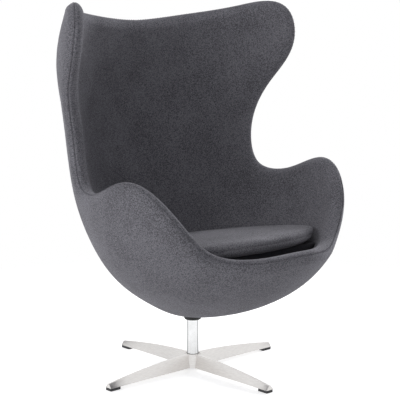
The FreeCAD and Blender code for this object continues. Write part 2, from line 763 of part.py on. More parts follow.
def make_foot():
    """Star casting with four tapering arms, the glides under their ends and their screws."""
    hub = turned([
        (0.0, ARM_BOTTOM_Z),
        (HUB_FOOT_RADIUS, ARM_BOTTOM_Z),
        (HUB_TOP_RADIUS, HUB_TOP_Z),
        (0.0, HUB_TOP_Z),
    ])
    star = hub
    for k in range(ARM_COUNT):
        star = star.fuse(spun(make_arm(), k))
    star = star.removeSplitter()
    star = star.cut(cylinder(HUB_RECESS_RADIUS, HUB_TOP_Z - HUB_RECESS_DEPTH, HUB_TOP_Z))
    star = star.cut(cylinder(COLUMN_RADIUS, COLUMN_BOTTOM_Z, HUB_TOP_Z))
    star = star.cut(cylinder(COLUMN_SCREW_RADIUS, ARM_BOTTOM_Z, COLUMN_BOTTOM_Z))
    screw_at = FOOT_RADIUS - GLIDE_LENGTH / 2
    screws = []
    screw_top = GLIDE_SCREW_RECESS + GLIDE_SCREW_LENGTH
    for k in range(ARM_COUNT):
        shank = cylinder(GLIDE_SCREW_RADIUS, GLIDE_SCREW_RECESS, screw_top, screw_at)
        cone = Part.makeCone(GLIDE_SCREW_HEAD, GLIDE_SCREW_RADIUS,
                             GLIDE_SCREW_HEAD - GLIDE_SCREW_RADIUS,
                             V(screw_at, 0, GLIDE_SCREW_RECESS))
        screw = spun(shank.fuse(cone), k)
        screws.append(screw)
        star = star.cut(spun(shank, k))
        keep("glide_%d" % (k + 1), spun(make_glide(screw_at), k))
    keep("star_base", star)
    keep("glide_screws", group(screws))


def spun(shape, k):
    """Copy of a shape turned to arm k."""
    copy = shape.copy()
    copy.rotate(V(0, 0, 0), V(0, 0, 1), 360.0 * k / ARM_COUNT)
    return copy


def make_arm():
    """One arm: a narrow convex back, flared sides and a flat underside."""
    wires = []
    for k in range(ARM_STATIONS):
        share = k / (ARM_STATIONS - 1)
        x = FOOT_RADIUS * share
        drop = 1 - share ** ARM_TOP_POWER
        tip_z = ARM_BOTTOM_Z + ARM_TIP_HEIGHT
        top = tip_z + (HUB_TOP_Z - tip_z) * drop
        corners = [
            V(x, -ARM_FOOT_HALF, ARM_BOTTOM_Z),
            V(x, ARM_FOOT_HALF, ARM_BOTTOM_Z),
            V(x, ARM_TOP_HALF, top),
            V(x, -ARM_TOP_HALF, top),
        ]
        wires.append(Part.makePolygon(corners + corners[:1]))
    return Part.makeLoft(wires, True, False)


def make_glide(screw_at):
    """Glide block under an arm's end, with a small lip over the tip."""
    low_x = FOOT_RADIUS - GLIDE_LENGTH
    high_x = FOOT_RADIUS + GLIDE_LIP
    block = box((low_x, -GLIDE_HALF_WIDTH, 0.0), (high_x, GLIDE_HALF_WIDTH, ARM_BOTTOM_Z))
    edges = [e for e in block.Edges if abs(e.Vertexes[0].Z - e.Vertexes[-1].Z) > 1]
    block = block.makeFillet(GLIDE_CORNER, edges)
    lip = box((FOOT_RADIUS, -GLIDE_HALF_WIDTH + GLIDE_CORNER, ARM_BOTTOM_Z),
              (high_x, GLIDE_HALF_WIDTH - GLIDE_CORNER, ARM_BOTTOM_Z + GLIDE_LIP_HEIGHT))
    glide = block.fuse(lip)
    sink = cylinder(GLIDE_SCREW_HEAD, 0.0, GLIDE_SCREW_RECESS, screw_at)
    cone = Part.makeCone(GLIDE_SCREW_HEAD, GLIDE_SCREW_RADIUS,
                         GLIDE_SCREW_HEAD - GLIDE_SCREW_RADIUS, V(screw_at, 0, GLIDE_SCREW_RECESS))
    hole = cylinder(GLIDE_SCREW_RADIUS, GLIDE_SCREW_RECESS, ARM_BOTTOM_Z, screw_at)
    return glide.cut(sink).cut(cone).cut(hole)


make_shell()
make_seat_block()
make_cushion()
make_seat_fixing()
make_swivel()
make_column()
make_foot()

for name, shape in NODES.items():
    shape.translate(V(0, COLUMN_Y, 0))
    shape.exportStep("parts/%s.step" % name)
    print("%-20s solids %d valid %s volume %.1f cm3" % (name, len(shape.Solids), shape.isValid(),
                                                       shape.Volume / 1000))
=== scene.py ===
import math
import bpy
import numpy as np
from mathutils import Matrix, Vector


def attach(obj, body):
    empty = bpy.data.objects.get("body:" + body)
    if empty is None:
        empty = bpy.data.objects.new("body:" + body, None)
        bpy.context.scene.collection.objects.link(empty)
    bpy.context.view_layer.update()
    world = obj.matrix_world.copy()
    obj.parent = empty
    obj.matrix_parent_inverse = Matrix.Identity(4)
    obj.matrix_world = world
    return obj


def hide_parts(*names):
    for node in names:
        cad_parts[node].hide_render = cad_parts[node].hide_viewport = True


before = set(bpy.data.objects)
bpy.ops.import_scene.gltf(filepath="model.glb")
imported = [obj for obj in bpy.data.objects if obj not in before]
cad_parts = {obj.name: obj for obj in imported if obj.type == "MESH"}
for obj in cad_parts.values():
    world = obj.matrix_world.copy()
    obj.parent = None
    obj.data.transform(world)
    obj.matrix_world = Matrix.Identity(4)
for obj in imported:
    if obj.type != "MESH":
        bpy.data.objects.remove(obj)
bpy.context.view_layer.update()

scene = bpy.context.scene

# Shell cloth. One moulded pod of foam over a hard shell, dressed in heather wool felt. The
# cloth outside and the cloth inside meet in a hand-sewn seam that runs along the crest of the
# rim.

LEVEL_Z = [0.186, 0.198, 0.232, 0.300, 0.410, 0.560, 0.730, 0.900, 1.060]
HALF_WIDTH = [0.0, 0.067, 0.141, 0.246, 0.325, 0.371, 0.392, 0.425, 0.402]
BACK_Y = [0.012, 0.070, 0.117, 0.177, 0.244, 0.306, 0.328, 0.291, 0.225]
FRONT_Y = [0.012, -0.085, -0.205, -0.333, -0.426, -0.503, -0.539, -0.508, -0.409]
SQUARE_AT = [0.0, 0.5, 0.74, 0.86, 1.0]
SQUARENESS = [-0.01, 0.0, 0.0, 0.02, 0.05]
POLE_FLATNESS = 0.30
WING_SWEEP_LEVEL = 0.74
WING_SWEEP_POWER = 5
RIM = np.array([
    (0.0, -0.412, 0.391), (0.120, -0.385, 0.385), (0.231, -0.321, 0.405),
    (0.322, -0.268, 0.511), (0.370, -0.173, 0.588), (0.364, -0.038, 0.546),
    (0.331, 0.083, 0.559), (0.327, 0.121, 0.693), (0.377, 0.077, 0.847),
    (0.406, 0.016, 0.968), (0.393, 0.025, 1.030), (0.319, 0.132, 1.034),
    (0.177, 0.223, 1.008), (0.0, 0.255, 0.992)])
COLUMN_Y = 0.042
HALF_THICK = 0.023
PROBE = 0.002
HALVINGS = 22


def spline(xs, ys):
    """Natural cubic spline through the points, for arrays."""
    xs = np.asarray(xs, float)
    ys = np.asarray(ys, float)
    h = np.diff(xs)
    n = len(xs)
    rows = np.zeros((n, n))
    right = np.zeros(n)
    rows[0, 0] = rows[-1, -1] = 1.0
    for i in range(1, n - 1):
        rows[i, i - 1:i + 2] = h[i - 1], 2 * (h[i - 1] + h[i]), h[i]
        right[i] = 6 * ((ys[i + 1] - ys[i]) / h[i] - (ys[i] - ys[i - 1]) / h[i - 1])
    bend = np.linalg.solve(rows, right)

    def value(x):
        x = np.asarray(x, float)
        i = np.clip(np.searchsorted(xs, x) - 1, 0, n - 2)
        a = (xs[i + 1] - x) / h[i]
        b = 1 - a
        curve = (a ** 3 - a) * bend[i] + (b ** 3 - b) * bend[i + 1]
        return a * ys[i] + b * ys[i + 1] + curve * h[i] ** 2 / 6

    return value


REACH = math.sqrt(1 + POLE_FLATNESS ** 2) - POLE_FLATNESS
RISE = LEVEL_Z[-1] - LEVEL_Z[0]


def level_at(z):
    root = (np.asarray(z) - LEVEL_Z[0]) / RISE * REACH + POLE_FLATNESS
    return np.sqrt(np.maximum(root ** 2 - POLE_FLATNESS ** 2, 0.0))


half_width = spline(level_at(LEVEL_Z), HALF_WIDTH)
back_y = spline(level_at(LEVEL_Z), BACK_Y)
front_y = spline(level_at(LEVEL_Z), FRONT_Y)
squareness = spline(SQUARE_AT, SQUARENESS)

rim_run = np.concatenate([RIM[3:0:-1] * [-1, 1, 1], RIM, RIM[-2:-5:-1] * [-1, 1, 1]])
rim_length = np.concatenate([[0], np.cumsum(np.linalg.norm(np.diff(rim_run, axis=0), axis=1))])
RIM_SPAN = rim_length[3 + len(RIM) - 1] - rim_length[3]
rim_share = (rim_length - rim_length[3]) / RIM_SPAN
rim_curves = [spline(rim_share, rim_run[:, k]) for k in range(3)]


def level_point(m, angle):
    """Point of the shell's middle on level m, from angle 0 at the back to pi in front."""
    back = back_y(m)
    front = front_y(m)
    swell = 1 + squareness(m) * np.sin(2 * angle) ** 2
    x = half_width(m) * np.sin(angle) * swell
    y = (back + front) / 2 + (back - front) / 2 * np.cos(angle) * swell
    z = LEVEL_Z[0] + RISE * (np.sqrt(m * m + POLE_FLATNESS ** 2) - POLE_FLATNESS) / REACH
    return np.stack(np.broadcast_arrays(x, y, z), axis=-1)


def bend_angle(angle, m, way):
    pull = (1 + (m / WING_SWEEP_LEVEL) ** WING_SWEEP_POWER) ** -way
    return 2 * np.arctan2(pull * np.sin(angle / 2), np.cos(angle / 2))


def middle(t, v):
    """Middle of the shell on rib t, from v 0 at the bottom to 1 at the rim."""
    t, v = np.broadcast_arrays(np.asarray(t, float), np.asarray(v, float))
    edge = np.stack([curve(t) for curve in rim_curves], axis=-1)
    m = level_at(edge[..., 2])
    back = back_y(m)
    front = front_y(m)
    angle = np.arctan2(edge[..., 0] / half_width(m),
                       (edge[..., 1] - (back + front) / 2) / ((back - front) / 2))
    angle = np.where((t < 0.5) & (angle < 0), angle + 2 * math.pi, angle)
    shift = edge - level_point(m, angle)
    bent = bend_angle(angle, m, 1)
    return level_point(m * v, bend_angle(bent, m * v, -1)) + shift * v[..., None] ** 3


def unit(a):
    return a / np.linalg.norm(a, axis=-1, keepdims=True)


def shell_frame(t, v):
    """Middle point, outward normal, and the direction that leaves the rim."""
    t, v = np.broadcast_arrays(np.asarray(t, float), np.asarray(v, float))
    low = np.maximum(v - PROBE, PROBE)
    high = np.minimum(v + PROBE, 1.0)
    along = unit(middle(t + PROBE, v) - middle(t - PROBE, v))
    normal = unit(np.cross(along, middle(t, high) - middle(t, low)))
    return middle(t, v), normal, np.cross(normal, along)


def skin(t, v, offset):
    point, normal, _ = shell_frame(t, v)
    return point + normal * np.asarray(offset)[..., None]


def find_v(t, test, low=0.004, high=1.0):
    """The v on each rib at which the test turns true, by halving."""
    low = np.full(t.shape, low)
    high = np.full(t.shape, high)
    for _ in range(HALVINGS):
        mid = (low + high) / 2
        past = test(t, mid)
        high = np.where(past, mid, high)
        low = np.where(past, low, mid)
    return high


def whole_ring(half):
    """Rows of the right half, from front to back, made whole with the mirrored left half."""
    half = half.copy()
    half[:, [0, -1], 0] = 0.0
    left = half[:, -2:0:-1] * [-1, 1, 1]
    return np.concatenate([half, left], axis=1) + [0, COLUMN_Y, 0]


def cloth_mesh(name, rows, uv=None, close_start=False, close_end=False, flip=False):
    """Smooth quad mesh through closed rings of points, with a cloth map in metres."""
    count = rows.shape[1]
    points = rows.reshape(-1, 3)
    faces = []
    coords = []
    for r in range(rows.shape[0] - 1):
        for k in range(count):
            n = (k + 1) % count
            face = [r * count + k, r * count + n, (r + 1) * count + n, (r + 1) * count + k]
            spot = [(r, k), (r, k + 1), (r + 1, k + 1), (r + 1, k)]
            if flip:
                face.reverse()
                spot.reverse()
            faces.append(face)
            coords.extend(spot)
    for wanted, r in ((close_start, 0), (close_end, rows.shape[0] - 1)):
        if wanted:
            points = np.vstack([points, rows[r].mean(axis=0)])
            centre = len(points) - 1
            for k in range(count):
                face = [r * count + k, r * count + (k + 1) % count, centre]
                if (r == 0) != flip:
                    face.reverse()
                faces.append(face)
                coords.extend([(r, k)] * 3)
    mesh = bpy.data.meshes.new(name)
    mesh.from_pydata(points.tolist(), [], faces)
    if uv is not None:
        layer = mesh.uv_layers.new(name="cloth")
        flat = [uv[r][min(k, len(uv[r]) - 1)] for r, k in coords]
        layer.data.foreach_set("uv", np.array(flat, float).ravel())
    mesh.shade_smooth()
    mesh.validate()
    piece = bpy.data.objects.new(name, mesh)
    scene.collection.objects.link(piece)
    return piece


PUFF_HEIGHT = 0.0008
PUFF_PLACE = 0.0060
PUFF_WIDTH = 0.0045
SEAM_DEPTH = 0.0018
SEAM_WIDTH = 0.0014


def seam_puff(distance):
    """The cloth stands a little proud beside the seam and dives into it."""
    return PUFF_HEIGHT * np.exp(-((distance - PUFF_PLACE) / PUFF_WIDTH) ** 2) \
        - SEAM_DEPTH * np.exp(-(distance / SEAM_WIDTH) ** 2)


RIBS = 210
NECK_RADIUS = 0.0275
POCKET_RADIUS = 0.080
RIDGE = 0.07
t = np.linspace(0.0, 1.0, RIBS + 1)
near_seam = np.array([0, 0.4, 0.9, 1.5, 2.3, 3.3, 4.6, 6.2, 8.2, 11, 14, 18, 22]) / 1000
per_v = np.linalg.norm(middle(t, 1.0) - middle(t, 1.0 - PROBE), axis=-1) / PROBE


def clear_of(radius, offset):
    def test(ts, vs):
        p = skin(ts, vs, np.full(ts.shape, offset))
        return np.hypot(p[:, 0], p[:, 1]) > radius
    return test


outer_start = find_v(t, clear_of(NECK_RADIUS, HALF_THICK), high=0.3)
inner_start = find_v(t, clear_of(POCKET_RADIUS, -HALF_THICK), high=0.4)
SEAM_TURN = math.radians(68)
SEAM_RUN = SEAM_TURN * HALF_THICK
LIP_END = math.pi * HALF_THICK
point, normal, away = shell_frame(t, 1.0)


def lip_rings(runs):
    """Rings over the rim, whose section is a blunt ridge with the seam on its crest."""
    rings = []
    for run in runs:
        turn = run / HALF_THICK
        lean = np.sin(2 * turn) ** 2
        reach = HALF_THICK * (1 - RIDGE * lean) + seam_puff(abs(run - SEAM_RUN))
        rings.append(point + normal * (reach * math.cos(turn))
                     + away * (reach * math.sin(turn)))
    return np.array(rings)


shares = np.linspace(0.0, 1.0, 49)[:, None] ** 0.9
v_outer = outer_start + (1.0 - outer_start) * shares
flat_half = skin(np.broadcast_to(t, v_outer.shape), v_outer, np.full(v_outer.shape, HALF_THICK))
outer_runs = SEAM_RUN - near_seam[::-1]
outer_half = np.concatenate([flat_half, lip_rings(outer_runs)])
whole_rim = (len(outer_runs), RIBS + 1)
d_outer = np.concatenate([SEAM_RUN + (1.0 - v_outer) * per_v,
                          np.broadcast_to(near_seam[::-1, None], whole_rim)])
inner_runs = np.concatenate([SEAM_RUN + near_seam, np.linspace(SEAM_RUN + 0.024, LIP_END, 7)])
v_inner = 1.0 - (1.0 - inner_start) * (np.linspace(0.0, 1.0, 47)[1:, None] ** 1.05)
wall_half = skin(np.broadcast_to(t, v_inner.shape), v_inner, np.full(v_inner.shape, -HALF_THICK))
inner_half = np.concatenate([lip_rings(inner_runs), wall_half])
d_inner = np.concatenate([np.broadcast_to((inner_runs - SEAM_RUN)[:, None],
                                          (len(inner_runs), RIBS + 1)),
                          LIP_END - SEAM_RUN + (1.0 - v_inner) * per_v])


def cloth_map(distance):
    """Along the rim and away from the seam, in metres, for every ring."""
    run = np.concatenate([t, 2 - t[-2:0:-1], [2.0]]) * RIM_SPAN
    away_from = np.concatenate([distance, distance[:, -2:0:-1], distance[:, :1]], axis=1)
    return np.stack(np.broadcast_arrays(run, away_from), axis=-1)


def srgb(hex_value):
    """sRGB hex to the linear colour that a shader takes."""
    out = []
    for k in (1, 3, 5):
        c = int(hex_value[k:k + 2], 16) / 255
        out.append(c / 12.92 if c <= 0.04045 else ((c + 0.055) / 1.055) ** 2.4)
    return (*out, 1.0)


def add(tree, kind, settings=None, links=None):
    """One shader node with its settings, its input values and its links."""
    node = tree.nodes.new(kind)
    for key, value in (settings or {}).items():
        if isinstance(key, str) and hasattr(node, key):
            setattr(node, key, value)
        else:
            node.inputs[key].default_value = value
    for key, source in (links or {}).items():
        tree.links.new(source, node.inputs[key])
    return node


def ramp(tree, fac, stops):
    node = add(tree, "ShaderNodeValToRGB", {}, {"Fac": fac})
    bar = node.color_ramp.elements
    while len(bar) < len(stops):
        bar.new(0.5)
    for stop, (place, colour) in zip(bar, stops):
        stop.position = place
        stop.color = colour if len(colour) == 4 else (*colour, 1.0)
    return node


def heather_felt(name, dark, mid, light, seam=False):
    """Fulled wool cloth woven from grey yarns of mixed shades. Short fibres give it a soft
    bloom at glancing angles, and its clumps of light and dark fibre are 3 to 5 mm across."""
    mat = bpy.data.materials.new(name)
    mat.use_nodes = True
    tree = mat.node_tree
    tree.nodes.clear()
    place = add(tree, "ShaderNodeTexCoord")
    heights = []
    # Slubs of the two yarn directions, drawn twice their size so that they show at all in a
    # picture of the whole chair.
    for label, scale in (("weft", (150, 150, 520)), ("warp", (520, 520, 150))):
        stretch = add(tree, "ShaderNodeMapping", {"Scale": scale},
                      {"Vector": place.outputs["Object"]})
        slub = add(tree, "ShaderNodeTexNoise", {"Scale": 1.0, "Detail": 2.0, "Roughness": 0.6},
                   {"Vector": stretch.outputs[0]})
        slub.label = label
        heights.append(slub.outputs["Fac"])
    clump = add(tree, "ShaderNodeTexNoise", {"Scale": 420.0, "Detail": 3.0, "Roughness": 0.7},
                {"Vector": place.outputs["Object"]})
    worn = add(tree, "ShaderNodeTexNoise", {"Scale": 9.0, "Detail": 4.0, "Roughness": 0.55},
               {"Vector": place.outputs["Object"]})
    yarns = add(tree, "ShaderNodeMath", {"operation": "ADD"},
                {0: heights[0], 1: heights[1]})
    blend = add(tree, "ShaderNodeMath", {"operation": "MULTIPLY_ADD", 1: 0.35},
                {0: yarns.outputs[0], 2: clump.outputs["Fac"]})
    shade = add(tree, "ShaderNodeMath", {"operation": "MULTIPLY_ADD", 1: 0.20},
                {0: worn.outputs["Fac"], 2: blend.outputs[0]})
    colour = ramp(tree, shade.outputs[0],
                  [(0.72, srgb(dark)), (0.92, srgb(mid)), (1.0, srgb(light))])
    height = shade.outputs[0]
    if seam:
        # The thread draws the cloth in every 8 mm along the seam.
        pull_pitch = 0.008
        split = add(tree, "ShaderNodeSeparateXYZ", {}, {0: place.outputs["UV"]})
        wave = add(tree, "ShaderNodeMath", {"operation": "MULTIPLY", 1: 2 * math.pi / pull_pitch},
                   {0: split.outputs["X"]})
        pucker = add(tree, "ShaderNodeMath", {"operation": "SINE"}, {0: wave.outputs[0]})
        near = add(tree, "ShaderNodeMapRange",
                   {"From Min": 0.0, "From Max": 0.011, "To Min": 0.35, "To Max": 0.0},
                   {0: split.outputs["Y"]})
        drawn = add(tree, "ShaderNodeMath", {"operation": "MULTIPLY"},
                    {0: pucker.outputs[0], 1: near.outputs[0]})
        height = add(tree, "ShaderNodeMath", {"operation": "ADD"},
                     {0: height, 1: drawn.outputs[0]}).outputs[0]
    bump = add(tree, "ShaderNodeBump", {"Strength": 0.4, "Distance": 0.0008}, {"Height": height})
    cloth = add(tree, "ShaderNodeBsdfPrincipled",
                {"Roughness": 0.92, "Specular IOR Level": 0.25, "Sheen Weight": 0.30,
                 "Sheen Roughness": 0.55, "Sheen Tint": srgb("#B9B8BE")},
                {"Base Color": colour.outputs[0], "Normal": bump.outputs[0]})
    add(tree, "ShaderNodeOutputMaterial", {}, {"Surface": cloth.outputs[0]})
    return mat


shell_felt = heather_felt("heather_wool_felt_shell", "#3D3C40", "#535257", "#78777D", seam=True)

shell_outside = cloth_mesh("shell_outside_cloth", whole_ring(outer_half), cloth_map(d_outer))
shell_outside.data.materials.append(shell_felt)
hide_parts("outer_cover", "outer_foam")
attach(shell_outside, "seat")

shell_inside = cloth_mesh("shell_inside_cloth", whole_ring(inner_half), cloth_map(d_inner))
shell_inside.data.materials.append(shell_felt)
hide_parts("inner_cover", "inner_foam")
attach(shell_inside, "seat")

# Seam stitches. Waxed polyester thread in slip stitches that cross the groove and pull both
# edges of the cloth together. They are 4 mm long, 9 mm apart and slightly slanted.
STITCH_PITCH = 0.009
STITCH_LENGTH = 0.0042
STITCH_RADIUS = 0.00045
STITCH_SLANT = 0.35
THREAD_SIDES = 5
stitch_count = int(RIM_SPAN / STITCH_PITCH)
stitch_t = (np.arange(stitch_count) + 0.5) / stitch_count
spot, level_out, level_away = shell_frame(stitch_t, 1.0)
out_of = level_out * math.cos(SEAM_TURN) + level_away * math.sin(SEAM_TURN)
off_rim = level_away * math.cos(SEAM_TURN) - level_out * math.sin(SEAM_TURN)
run_of = np.cross(off_rim, out_of)
stitch_points = []
stitch_faces = []
bow = [(-0.5, -0.0010), (-0.25, 0.0), (0.25, 0.0), (0.5, -0.0010)]
for side in (1, -1):
    for p, n, a, r in zip(spot, out_of, off_rim, run_of):
        base = len(stitch_points)
        for across, sink in bow:
            centre = p + n * (HALF_THICK + 0.0003 + sink) \
                + (a + STITCH_SLANT * r) * (STITCH_LENGTH * across)
            for k in range(THREAD_SIDES):
                turn = 2 * math.pi * k / THREAD_SIDES
                q = centre + (n * math.cos(turn) + r * math.sin(turn)) * STITCH_RADIUS
                stitch_points.append((side * q[0], q[1] + COLUMN_Y, q[2]))
        for ring in range(len(bow) - 1):
            low = base + ring * THREAD_SIDES
            for k in range(THREAD_SIDES):
                after = (k + 1) % THREAD_SIDES
                face = [low + k, low + after,
                        low + THREAD_SIDES + after, low + THREAD_SIDES + k]
                stitch_faces.append(face if side == 1 else face[::-1])
mesh = bpy.data.meshes.new("shell_seam_stitches")
mesh.from_pydata(stitch_points, [], stitch_faces)
mesh.shade_smooth()
stitches = bpy.data.objects.new("shell_seam_stitches", mesh)
scene.collection.objects.link(stitches)
thread = bpy.data.materials.new("waxed_polyester_thread")
thread.use_nodes = True
tree = thread.node_tree
tree.nodes.clear()
place = add(tree, "ShaderNodeTexCoord")
twist = add(tree, "ShaderNodeTexNoise", {"Scale": 900.0, "Detail": 1.0},
            {"Vector": place.outputs["Object"]})
tone = ramp(tree, twist.outputs["Fac"], [(0.3, srgb("#4A4A50")), (0.7, srgb("#74737C"))])
fibre = add(tree, "ShaderNodeBsdfPrincipled", {"Roughness": 0.6, "Specular IOR Level": 0.4},
            {"Base Color": tone.outputs[0]})
add(tree, "ShaderNodeOutputMaterial", {}, {"Surface": fibre.outputs[0]})
stitches.data.materials.append(thread)
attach(stitches, "seat")

# Loose cushion. Foam pad in the same felt, cut to the bowl with a gentle arc in front. The
# top and base panels are sewn to each other half way up the side, which draws the side in
# there.
SEAT_SLOPE = math.tan(math.radians(8.5))
SEAT_PLANE_Z = 0.351
WALL_GAP = 0.0028
CUSHION_EDGE = 0.038
CUSHION_THICK = 0.049
EDGE_INSET = 0.010
CUSHION_FRONT_Y = -0.352
CUSHION_FRONT_RADIUS = 0.420
CORNER_BLEND = 0.044
CUSHION_CENTRE = np.array([0.0, -0.060])
CUSHION_RIBS = 96
SIDE_ROWS = 12
BASE_ROWS = 15
BASE_HEIGHT = 0.0006
GROOVE_DEPTH = 0.0012
tc = np.linspace(0.0, 1.0, CUSHION_RIBS + 1)
wall_offset = HALF_THICK + WALL_GAP


def seat_plane(y):
    return SEAT_PLANE_Z - SEAT_SLOPE * y


def cushion_ring(inset, height):
    def test(ts, vs):
        p = skin(ts, vs, np.full(ts.shape, -wall_offset))
        return p[:, 2] > seat_plane(p[:, 1]) + height
    v_wall = find_v(tc, test)
    p = skin(tc, v_wall, np.full(tc.shape, -wall_offset))
    front = CUSHION_FRONT_Y + p[:, 0] ** 2 / (2 * CUSHION_FRONT_RADIUS)
    gap = p[:, 1] - front
    y = front + (gap + np.hypot(gap, CORNER_BLEND)) / 2
    arm = np.stack([p[:, 0], y], axis=-1) - CUSHION_CENTRE
    length = np.linalg.norm(arm, axis=-1, keepdims=True)
    return CUSHION_CENTRE + arm * (1 - inset / length)


def on_seat(ring, share, height):
    flat = CUSHION_CENTRE + (ring - CUSHION_CENTRE) * share
    return np.column_stack([flat, seat_plane(flat[:, 1]) + height])


cushion_rows = []
bottom_ring = cushion_ring(EDGE_INSET, BASE_HEIGHT)
for share in np.linspace(0.06, 0.94, BASE_ROWS):
    cushion_rows.append(on_seat(bottom_ring, share, BASE_HEIGHT))
for k in range(SIDE_ROWS + 1):
    level = 2 * k / SIDE_ROWS - 1
    height = BASE_HEIGHT + (CUSHION_EDGE - BASE_HEIGHT) * (1 + level) / 2
    side_ring = cushion_ring(EDGE_INSET * abs(level) ** 4, height)
    cushion_rows.append(on_seat(side_ring, 1.0, height))
for share in np.linspace(0.95, 0.06, 17):
    crown = (CUSHION_THICK - CUSHION_EDGE) * (1 - share ** 2)
    cushion_rows.append(on_seat(side_ring, share, CUSHION_EDGE + crown))
rows = whole_ring(np.array(cushion_rows))
steps = np.linalg.norm(np.diff(rows, axis=0), axis=-1).mean(axis=1)
seam_row = BASE_ROWS + SIDE_ROWS // 2
run = np.concatenate([[0], np.cumsum(steps)])
edge_steps = np.linalg.norm(np.roll(rows[seam_row], -1, axis=0) - rows[seam_row], axis=-1)
around = np.concatenate([[0], np.cumsum(edge_steps)])
cushion_map = np.stack(np.broadcast_arrays(around[None, :], np.abs(run - run[seam_row])[:, None]),
                       axis=-1)
cushion = cloth_mesh("cushion_cloth", rows, cushion_map, close_start=True, close_end=True)

# Blown out a little by its foam and held flat on the seat, with the swelling capped.
SWELL_CAP = 0.006
BLOW_FRAMES = 16
before = np.array([v.co[:] for v in cushion.data.vertices])
held = cushion.vertex_groups.new(name="held")
lowest = BASE_ROWS * rows.shape[1]
held.add(list(range(lowest)) + [rows.shape[0] * rows.shape[1]], 1.0, "REPLACE")
puff = cushion.modifiers.new("puff", "CLOTH")
puff.settings.quality = 6
puff.settings.mass = 0.25
puff.settings.tension_stiffness = 22
puff.settings.compression_stiffness = 22
puff.settings.bending_stiffness = 1.2
puff.settings.use_pressure = True
puff.settings.uniform_pressure_force = 3.2
puff.settings.vertex_group_mass = "held"
puff.settings.effector_weights.gravity = 0.0
puff.point_cache.frame_start = 1
puff.point_cache.frame_end = BLOW_FRAMES
for f in range(1, BLOW_FRAMES + 1):
    scene.frame_set(f)
blown = cushion.evaluated_get(bpy.context.evaluated_depsgraph_get())
after = np.array([v.co[:] for v in blown.to_mesh().vertices])
blown.to_mesh_clear()
cushion.modifiers.remove(puff)
scene.frame_set(1)
move = after - before
size = np.linalg.norm(move, axis=1, keepdims=True)
move = move * np.minimum(1.0, SWELL_CAP / np.maximum(size, 1e-9))
from_centre = (before - [0, COLUMN_Y + CUSHION_CENTRE[1], 0])[:, :2]
reach = np.hypot(from_centre[:, 0], from_centre[:, 1])
outward = from_centre / np.maximum(reach, 1e-6)[:, None]
push = (move[:, :2] * outward).sum(axis=1)
spare = np.maximum(push - (WALL_GAP - 0.0008), 0.0)
move[:, :2] -= outward * spare[:, None]
final = before + move
cushion.data.vertices.foreach_set("co", final.ravel())
cushion.data.update()

# The sewn edge sits in a groove, one row deep.
normals = np.array([v.normal[:] for v in cushion.data.vertices])
spots = np.array([v.co[:] for v in cushion.data.vertices])
ring = slice(seam_row * rows.shape[1], (seam_row + 1) * rows.shape[1])
spots[ring] -= normals[ring] * GROOVE_DEPTH
cushion.data.vertices.foreach_set("co", spots.ravel())
cushion.data.update()
smooth = cushion.modifiers.new("smooth", "SUBSURF")
smooth.levels = smooth.render_levels = 1
cushion_felt = heather_felt("heather_wool_felt_cushion", "#424146", "#5B5A5F", "#7E7D82",
                            seam=True)
cushion.data.materials.append(cushion_felt)
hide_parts("cushion_top_cover", "cushion_base_cover", "cushion_foam")
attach(cushion, "cushion")

# Seat block. Foam block under the cushion, in a thin dark grey lining cloth. Only its front
# edge shows, in the shadow behind the lip.
BLOCK_FRONT_Y = -0.290
BLOCK_GAP = 0.0006
BLOCK_DEPTH = 0.055
tb = np.linspace(0.0, 1.0, 65)


def block_ring(drop, share):
    offset = HALF_THICK + BLOCK_GAP

    def test(ts, vs):
        p = skin(ts, vs, np.full(ts.shape, -offset))
        return p[:, 2] > seat_plane(p[:, 1]) - BLOCK_GAP - drop
    v_wall = find_v(tb, test)
    p = skin(tb, v_wall, np.full(tb.shape, -offset))
    p[:, 1] = np.maximum(p[:, 1], BLOCK_FRONT_Y)
    flat = CUSHION_CENTRE + (p[:, :2] - CUSHION_CENTRE) * share
    return np.column_stack([flat, seat_plane(flat[:, 1]) - BLOCK_GAP - drop])


block_rows = [block_ring(drop, 1.0) for drop in np.linspace(BLOCK_DEPTH, 0.004, 8)]
block_rows.append(block_ring(0.001, 0.995))
block_rows += [block_ring(0.0, share) for share in np.linspace(0.985, 0.05, 10)]
block = cloth_mesh("seat_block_lining", whole_ring(np.array(block_rows)), close_end=True)
lining = bpy.data.materials.new("dark_grey_cotton_lining")
lining.use_nodes = True
tree = lining.node_tree
tree.nodes.clear()
place = add(tree, "ShaderNodeTexCoord")
threads = add(tree, "ShaderNodeTexNoise", {"Scale": 700.0, "Detail": 2.0},
              {"Vector": place.outputs["Object"]})
tone = ramp(tree, threads.outputs["Fac"], [(0.3, srgb("#333236")), (0.7, srgb("#48474C"))])
bump = add(tree, "ShaderNodeBump", {"Strength": 0.4, "Distance": 0.0004},
           {"Height": threads.outputs["Fac"]})
cotton = add(tree, "ShaderNodeBsdfPrincipled", {"Roughness": 0.95, "Specular IOR Level": 0.2},
             {"Base Color": tone.outputs[0], "Normal": bump.outputs[0]})
add(tree, "ShaderNodeOutputMaterial", {}, {"Surface": cotton.outputs[0]})
block.data.materials.append(lining)
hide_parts("seat_block")
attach(block, "seat")

# Hard shell and its fixings. Glass-reinforced moulding inside the foam with brass inserts,
# and the black powder-coated plate, cheeks and yoke that join it to the column. Hidden in the
# finished chair.


